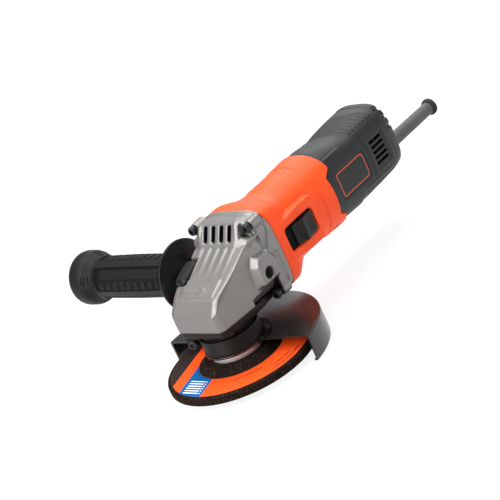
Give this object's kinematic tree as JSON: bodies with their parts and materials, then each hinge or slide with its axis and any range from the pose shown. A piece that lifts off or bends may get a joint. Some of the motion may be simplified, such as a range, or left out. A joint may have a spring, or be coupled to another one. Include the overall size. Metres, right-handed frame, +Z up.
{
  "type": "angle grinder",
  "caption": "Corded angle grinder with a bevel-gear head, depressed-centre grinding disc, turnable half guard, side handle, slide switch and spindle lock",
  "frame": {"origin": "on the spindle axis, in the plane of the disc's working face", "axes": "+X forward along the motor axis from tail to gear head, +Y to the user's left, +Z up along the spindle away from the disc"},
  "size_m": [0.3455, 0.2291, 0.1002],
  "materials": {
    "cast_alloy": "die-cast, satin grey",
    "bearing_steel": "ground and polished",
    "gear_steel": "machined, oiled",
    "zinc_steel": "turned, zinc plated",
    "black_screw": "black oxide",
    "sintered_bronze": "sintered",
    "cover_black": "satin black paint",
    "felt": "grey felt",
    "rubber_black": "moulded",
    "sleeve_rubber": "moulded, satin",
    "lamination_steel": "stacked laminations",
    "copper_wire": "enamelled copper wire",
    "copper_bars": "turned copper",
    "carbon": "pressed carbon",
    "brass": "formed sheet",
    "inner_plastic": "moulded nylon",
    "capacitor_case": "moulded",
    "orange_plastic": "fine moulded grain",
    "tail_plastic": "fine moulded grain",
    "button_plastic": "moulded",
    "handle_plastic": "ribbed grip",
    "guard_paint": "gloss black paint",
    "abrasive": "pressed grit in resin",
    "label_print": "printed paper"
  },
  "bodies": {
    "root": {"gear_case": "cast_alloy", "gear_case_screws": "black_screw", "spindle_top_bush": "sintered_bronze", "bearing_cover": "cover_black", "bearing_cover_screws": "black_screw", "bearing_retainer": "gear_steel", "spindle_seal": "felt", "spindle_bearing_outer_ring": "bearing_steel", "spindle_bearing_balls": "bearing_steel", "front_bearing_outer_ring": "bearing_steel", "front_bearing_balls": "bearing_steel", "rear_bearing_outer_ring": "bearing_steel", "rear_bearing_balls": "bearing_steel", "rear_bearing_sleeve": "rubber_black", "bearing_plate": "zinc_steel", "bearing_plate_screws": "black_screw", "stator_core": "lamination_steel", "field_coils": "copper_wire", "air_baffle": "inner_plastic", "motor_housing": "orange_plastic", "carbon_brushes": "carbon", "brush_holders": "brass", "brush_springs": "zinc_steel", "rear_housing_left": "tail_plastic", "rear_housing_right": "tail_plastic", "rear_housing_screws": "black_screw", "switch_module": "inner_plastic", "capacitor": "capacitor_case", "cord_sleeve": "sleeve_rubber", "lock_spring": "zinc_steel"},
    "spindle": {"spindle": "gear_steel", "spindle_key": "gear_steel", "crown_gear": "gear_steel", "gear_spacer": "gear_steel", "spindle_bearing_inner_ring": "bearing_steel", "inner_flange": "zinc_steel", "outer_flange_nut": "zinc_steel", "grinding_disc": "abrasive", "disc_label": "label_print"},
    "armature": {"armature_shaft": "gear_steel", "armature_core": "lamination_steel", "armature_windings": "copper_wire", "commutator": "copper_bars", "fan": "inner_plastic", "pinion": "gear_steel", "pinion_nut": "gear_steel", "front_bearing_inner_ring": "bearing_steel", "rear_bearing_inner_ring": "bearing_steel"},
    "guard": {"guard": "guard_paint", "guard_collar": "guard_paint", "guard_rivets": "zinc_steel", "guard_clamp_screw": "black_screw", "guard_clamp_nut": "zinc_steel"},
    "lock": {"lock_button": "button_plastic", "lock_pin": "gear_steel"},
    "switch": {"switch_slider": "button_plastic", "switch_link": "inner_plastic"},
    "side_handle": {"handle_grip": "handle_plastic", "handle_stud": "zinc_steel"}
  },
  "joints": [
    {"name": "spindle_spin", "type": "hinge", "parent": "root", "child": "spindle", "pos_m": [0, 0, 0], "axis": [0, 0, 1], "continuous": true},
    {"name": "armature_spin", "type": "hinge", "parent": "root", "child": "armature", "pos_m": [0, 0, 0.063], "axis": [1, 0, 0], "continuous": true},
    {"name": "guard_turn", "type": "hinge", "parent": "root", "child": "guard", "pos_m": [0, 0, 0.018], "axis": [0, 0, 1], "range_deg": [-90, 90]},
    {"name": "lock_press", "type": "slide", "parent": "root", "child": "lock", "axis": [0, 0, -1], "range_m": [0, 0.0045], "stiffness_N_per_m": 500, "springref_m": -0.002, "deforming": ["lock_spring"]},
    {"name": "switch_slide", "type": "slide", "parent": "root", "child": "switch", "axis": [1, 0, 0], "range_m": [0, 0.006]},
    {"name": "side_handle_unscrew", "type": "slide", "parent": "root", "child": "side_handle", "axis": [0, -1, 0], "range_m": [0, 0.02]}
  ],
  "couplings": [
    {"joint": "armature_spin", "follows": "spindle_spin", "ratio": -3.0833}
  ]
}
